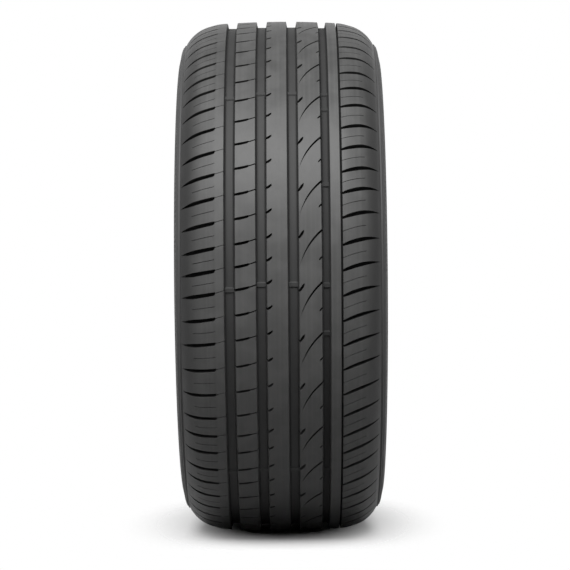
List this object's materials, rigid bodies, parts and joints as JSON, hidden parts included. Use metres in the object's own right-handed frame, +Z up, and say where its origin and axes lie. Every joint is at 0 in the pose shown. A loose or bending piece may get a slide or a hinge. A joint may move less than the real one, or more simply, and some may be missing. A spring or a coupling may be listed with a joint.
{
  "type": "car tyre",
  "caption": "Low-profile car tyre with an asymmetric ribbed tread, slotted shoulders, plain sidewalls and beads that press onto a wheel rim.",
  "frame": {"origin": "wheel centre: on the axle line, midway between the beads", "axes": "+Y along the axle towards the shoulder with the fine groove, +Z up, +X towards the front of the tread"},
  "size_m": [0.661, 0.255, 0.661],
  "materials": {
    "tyre": "matte black rubber"
  },
  "bodies": {
    "root": {"tyre": "tyre"}
  },
  "joints": []
}
